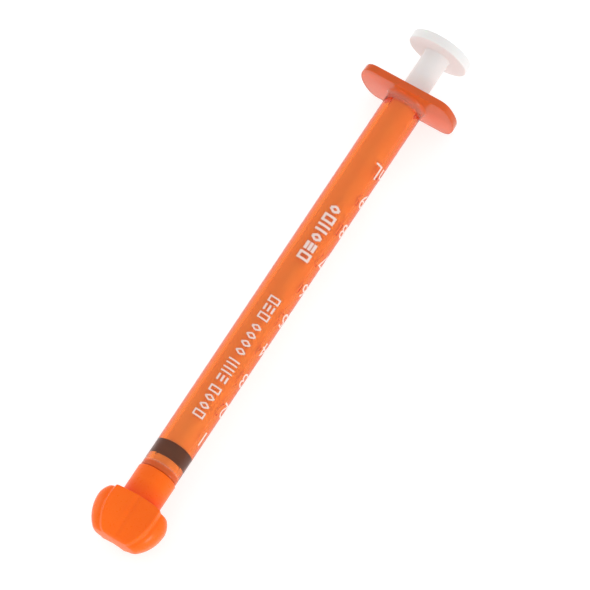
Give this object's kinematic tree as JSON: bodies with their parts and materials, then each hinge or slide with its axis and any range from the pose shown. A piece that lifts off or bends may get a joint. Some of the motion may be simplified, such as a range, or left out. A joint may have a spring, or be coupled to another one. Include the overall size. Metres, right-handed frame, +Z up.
{
  "type": "oral syringe",
  "caption": "Small oral syringe: flanged orange barrel, round white plunger with dark seal ring, and a winged orange tip cap that pulls off.",
  "frame": {"origin": "middle of the syringe's length, on its axis line as seen from above, at the height of the thumb disc's lowest point", "axes": "+X along the barrel from the tip to the thumb disc, +Y along the finger flange's long side, and near the cap's wings, +Z up, across the flange's flats"},
  "size_m": [0.0972, 0.0172, 0.0105],
  "materials": {
    "barrel_orange": "translucent orange moulded plastic, glossy",
    "rod_white": "milky white moulded plastic, satin",
    "seal_dark": "dark elastomer, satin",
    "cap_orange": "opaque orange moulded plastic, soft gloss"
  },
  "bodies": {
    "barrel": {"barrel": "barrel_orange"},
    "seal": {"plunger_seal": "seal_dark"},
    "plunger": {"plunger_rod": "rod_white"},
    "cap": {"tip_cap": "cap_orange"}
  },
  "joints": [
    {"name": "plunger_slide", "type": "slide", "parent": "barrel", "child": "seal", "axis": [1, 0, 0], "range_m": [0, 0.066]},
    {"name": "plunger_turn", "type": "hinge", "parent": "seal", "child": "plunger", "pos_m": [0, 0, 0.00525], "axis": [1, 0, 0], "continuous": true},
    {"name": "cap_pull", "type": "slide", "parent": "barrel", "child": "cap", "axis": [-1, 0, 0], "range_m": [0, 0.02]}
  ]
}
